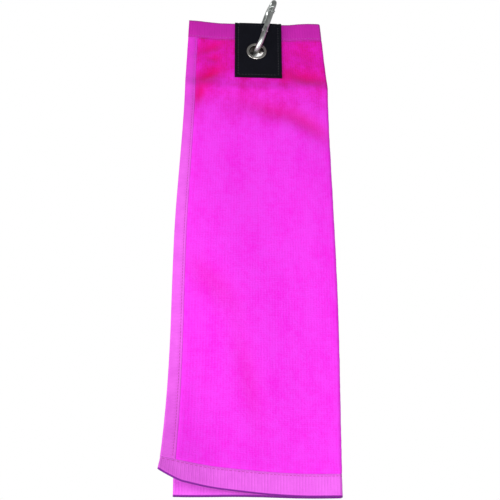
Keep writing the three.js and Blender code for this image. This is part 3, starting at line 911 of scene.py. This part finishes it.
def body_line():
    """Centre line of the bent rod with its directions, from the hinge end over the top to the nose."""
    right, left = SIDE - GATE_CORNER, -SIDE + SPINE_CORNER
    line = [(SIDE, HINGE_Z + GATE_END + END_GAP)]
    line += arc_points((right, WIRE - GATE_CORNER), GATE_CORNER, 0, 90, 26)
    line += arc_points((left, WIRE - SPINE_CORNER), SPINE_CORNER, 90, 180, 20)
    line += [(-SIDE, z) for z in np.linspace(-8 * MM, WIRE_BOTTOM + SPINE_CORNER + 2 * MM, 8)]
    line += arc_points((left, WIRE_BOTTOM + SPINE_CORNER), SPINE_CORNER, 180, 270, 20)
    line += arc_points((right, WIRE_BOTTOM + GATE_CORNER), GATE_CORNER, 270, 360, 26)
    line += [(SIDE, NOSE_Z - GATE_END - END_GAP)]
    return np.array(line)


def rod(line, radius, sides, chamfer):
    """A round rod along a line in the loop plane, with chamfered ends, as a bmesh."""
    along = np.gradient(line, axis=0)
    along /= np.linalg.norm(along, axis=1)[:, None]
    start, end = line[0], line[-1]
    first = [start, start + along[0] * chamfer]
    last = [end - along[-1] * chamfer, end]
    line = np.concatenate([first, line[1:-1], last])
    along = np.concatenate([[along[0]] * 2, along[1:-1], [along[-1]] * 2])
    radii = np.full(len(line), radius)
    radii[0] = radii[-1] = radius - chamfer
    work = bmesh.new()
    rings = []
    for (x, z), (dx, dz), r in zip(line, along, radii):
        ring = []
        for k in range(sides):
            angle = 2 * math.pi * k / sides
            out = r * math.cos(angle)
            ring.append(work.verts.new((x + dz * out, r * math.sin(angle), z - dx * out)))
        rings.append(ring)
    for a, b in zip(rings[:-1], rings[1:]):
        for k in range(sides):
            work.faces.new((a[k], a[(k + 1) % sides], b[(k + 1) % sides], b[k]))
    work.faces.new(rings[0][::-1])
    work.faces.new(rings[-1])
    bmesh.ops.recalc_face_normals(work, faces=work.faces)
    return work


def as_object(work, name):
    mesh = bpy.data.meshes.new(name)
    work.to_mesh(mesh)
    work.free()
    made = bpy.data.objects.new(name, mesh)
    bpy.context.scene.collection.objects.link(made)
    return made


def plate(x_span, y_span, z_span, rounding):
    """A rounded block in the loop frame."""
    work = bmesh.new()
    bmesh.ops.create_cube(work, size=1)
    for vertex in work.verts:
        for axis, (low, high) in enumerate((x_span, y_span, z_span)):
            vertex.co[axis] = low if vertex.co[axis] < 0 else high
    if rounding:
        bmesh.ops.bevel(work, geom=work.edges[:], offset=rounding, segments=3, affect="EDGES", profile=0.5)
    return as_object(work, "plate")


def round_bar(radius, length, axis, centre, chamfer=0.0, sides=40):
    """A round bar along local Y or Z, with chamfered ends."""
    work = bmesh.new()
    bmesh.ops.create_cone(
        work, cap_ends=True, segments=sides, radius1=radius, radius2=radius, depth=length
    )
    if chamfer:
        rims = [e for e in work.edges if all(abs(abs(v.co.z) - length / 2) < 1e-7 for v in e.verts)]
        bmesh.ops.bevel(work, geom=rims, offset=chamfer, segments=3, affect="EDGES", profile=0.5)
    if axis == "y":
        bmesh.ops.rotate(work, verts=work.verts, matrix=Matrix.Rotation(math.pi / 2, 3, "X"))
    bmesh.ops.translate(work, verts=work.verts, vec=centre)
    return as_object(work, "bar")


def combined(base, joined=(), cut=()):
    """base with others joined to it and cut from it, applied."""
    for operation, others in (("UNION", joined), ("DIFFERENCE", cut)):
        for other in others:
            step = base.modifiers.new("step", "BOOLEAN")
            step.operation = operation
            step.solver = "MANIFOLD"
            step.object = other
    bpy.context.view_layer.update()
    evaluated = base.evaluated_get(bpy.context.evaluated_depsgraph_get())
    mesh = bpy.data.meshes.new_from_object(evaluated)
    base.modifiers.clear()
    base.data = mesh
    for other in [*joined, *cut]:
        bpy.data.objects.remove(other)
    return base


def metal_piece(made, name, finish, body, slot):
    """Puts a piece drawn in the loop frame where it belongs, and rounds how its edges shade."""
    made.data.transform(LOOP_FRAME)
    made.name = name + "_look"
    settle(made, finish, body, slot, name)
    edges = made.modifiers.new("edges", "BEVEL")
    edges.width = 0.12 * MM
    edges.segments = 2
    edges.limit_method = "ANGLE"
    edges.angle_limit = math.radians(40)
    edges.harden_normals = True
    return made


def carabiner_pieces():
    slot_x = (SIDE - 5 * MM, SIDE + 5 * MM)
    body = as_object(rod(body_line(), WIRE, 40, 0.35 * MM), "body")
    tongue_x = (SIDE - TONGUE_HALF, SIDE + TONGUE_HALF)
    tongue_y = (-TONGUE_THICKNESS / 2, TONGUE_THICKNESS / 2)
    hinge_tongue = plate(tongue_x, tongue_y, (HINGE_Z - TONGUE_HALF, HINGE_Z + 5.5 * MM), 0.3 * MM)
    nose_tongue = plate(tongue_x, tongue_y, (NOSE_Z - 5.5 * MM, NOSE_Z + 2.6 * MM), 0.3 * MM)
    notch_x = (SIDE - 4 * MM, SIDE + 1.1 * MM)
    notch = plate(notch_x, (-4 * MM, 4 * MM), (NOSE_Z - 1.25 * MM, NOSE_Z + 1.25 * MM), 0.25 * MM)
    combined(body, [hinge_tongue, nose_tongue], [notch])
    gate_length = HINGE_Z - NOSE_Z + 2 * GATE_END
    gate_middle = (HINGE_Z + NOSE_Z) / 2
    gate = round_bar(WIRE, gate_length, "z", (SIDE, 0, gate_middle), 0.45 * MM)
    slot_y = (-1.2 * MM, 1.2 * MM)
    hinge_slot = plate(slot_x, slot_y, (HINGE_Z - 3.2 * MM, HINGE_Z + 5 * MM), 0)
    nose_slot = plate(slot_x, slot_y, (NOSE_Z - 5 * MM, NOSE_Z + 3.2 * MM), 0)
    bore = round_bar(1.5 * MM, 16 * MM, "z", (SIDE, 0, HINGE_Z - 9.5 * MM))
    combined(gate, [], [hinge_slot, nose_slot, bore])
    metal_piece(body, "carabiner_body", ALUMINIUM, "carabiner", "carabiner_metal")
    metal_piece(gate, "gate", ALUMINIUM, "gate", "carabiner_metal")
    for name, radius, head, z, owner in (
        ("hinge_rivet", 1.0 * MM, 1.5 * MM, HINGE_Z, "carabiner"),
        ("nose_pin", 0.8 * MM, 1.1 * MM, NOSE_Z, "gate"),
    ):
        shank = round_bar(radius, 5.6 * MM, "y", (SIDE, 0, z))
        heads = [
            round_bar(head, 0.6 * MM, "y", (SIDE, side * 2.95 * MM, z), 0.25 * MM) for side in (-1, 1)
        ]
        metal_piece(combined(shank, heads), name, STEEL, owner, "pin_steel")
    plunger = round_bar(1.15 * MM, 4.2 * MM, "z", (SIDE, 0, HINGE_Z - 4.6 * MM), 0.35 * MM)
    metal_piece(plunger, "gate_plunger", STEEL, "plunger", "pin_steel")
    turns = 7
    angle = np.linspace(0, 2 * math.pi * turns, 24 * turns)
    coil_top = HINGE_Z - 7.7 * MM
    coil_bottom = HINGE_Z - 16.8 * MM
    heights = np.linspace(coil_top, coil_bottom, len(angle))
    coil = np.stack([SIDE + 1.0 * MM * np.cos(angle), 1.0 * MM * np.sin(angle), heights], axis=-1)
    vertices, faces = tubes([coil], 0.2 * MM, 8)
    placed = [in_loop(*vertex) for vertex in vertices]
    spring = piece("gate_spring_look", placed, faces, STEEL, "gate", "pin_steel", "gate_spring")
    return body, gate, spring


# ---- stage, light and camera ----


FLOOR_HEIGHT = -1.6  # the towel hangs well clear of it


def floor():
    work = bmesh.new()
    bmesh.ops.create_grid(work, x_segments=2, y_segments=2, size=6)
    bmesh.ops.translate(work, verts=work.verts, vec=(0, 0, FLOOR_HEIGHT))
    made = as_object(work, "floor")
    finish, shader = material("floor", (0.86, 0.86, 0.86), 0.9)
    shader.inputs["Specular IOR Level"].default_value = 0.1
    shader.inputs["Emission Color"].default_value = (1, 1, 1, 1)
    shader.inputs["Emission Strength"].default_value = 0.22
    made.data.materials.append(finish)


def area_light(name, place, target, size, power):
    data = bpy.data.lights.new(name, "AREA")
    data.shape = "DISK"
    data.size = size
    data.energy = power
    light = bpy.data.objects.new(name, data)
    light.location = place
    light.rotation_euler = (Vector(target) - Vector(place)).to_track_quat("-Z", "Y").to_euler()
    bpy.context.scene.collection.objects.link(light)


def world():
    """White to the camera, and a softer even light to everything else."""
    made = bpy.data.worlds.new("studio")
    bpy.context.scene.world = made
    made.use_nodes = True
    tree = made.node_tree
    background = tree.nodes["Background"]
    background.inputs["Color"].default_value = (1, 1, 1, 1)
    direction = tree.nodes.new("ShaderNodeTexCoord")
    heights = tree.nodes.new("ShaderNodeSeparateXYZ")
    tree.links.new(direction.outputs["Generated"], heights.inputs["Vector"])
    glow = tree.nodes.new("ShaderNodeMapRange")
    glow.inputs["From Min"].default_value = -0.5
    glow.inputs["From Max"].default_value = 0.6
    glow.inputs["To Min"].default_value = 0.72
    glow.inputs["To Max"].default_value = 0.16
    tree.links.new(heights.outputs["Z"], glow.inputs["Value"])
    rays = tree.nodes.new("ShaderNodeLightPath")
    strength = tree.nodes.new("ShaderNodeMix")
    tree.links.new(rays.outputs["Is Camera Ray"], strength.inputs[0])
    tree.links.new(glow.outputs["Result"], strength.inputs[2])
    strength.inputs[3].default_value = 1.0
    tree.links.new(strength.outputs[0], background.inputs["Strength"])


CAMERA_PITCH = 30  # degrees up from level
CAMERA_YAW = 2.6
CAMERA_FROM_EYELET = (-54.3 * MM, -1055.7 * MM, -837.5 * MM)
CAMERA_LENS = 95.5


def camera():
    """Looks up at the hanging towel from below its foot."""
    pitch = math.radians(CAMERA_PITCH)
    yaw = math.radians(CAMERA_YAW)
    toward = Vector((math.sin(yaw) * math.cos(pitch), math.cos(yaw) * math.cos(pitch), math.sin(pitch)))
    data = bpy.data.cameras.new("camera")
    data.sensor_width = 36
    data.lens = CAMERA_LENS
    made = bpy.data.objects.new("camera", data)
    made.location = Vector(EYELET) + Vector(CAMERA_FROM_EYELET)
    made.rotation_euler = toward.to_track_quat("-Z", "Y").to_euler()
    bpy.context.scene.collection.objects.link(made)
    bpy.context.scene.camera = made


camera()
world()
floor()
area_light("key", (-0.15, -1.15, -0.75), (-0.02, 0, -0.34), 0.8, 9.4)
area_light("fill", (-1.0, -0.55, -0.45), (0, 0, -0.30), 0.9, 6)
area_light("back", (-0.4, 1.1, 0.3), (0, 0, -0.2), 0.9, 9)
bpy.context.scene.view_settings.view_transform = "Standard"

towel_body, hems = towel_pieces()
threads = hem_stitching()
patch = patch_piece()
front_end = PATCH_TOP - PATCH_BOTTOM - STITCH_INSET
patch_stitching("patch_stitching_front", STITCH_INSET, front_end)
patch_stitching("patch_stitching_back", PATCH_SPAN - front_end, PATCH_SPAN - STITCH_INSET)
eyelet_pieces()
carabiner_pieces()
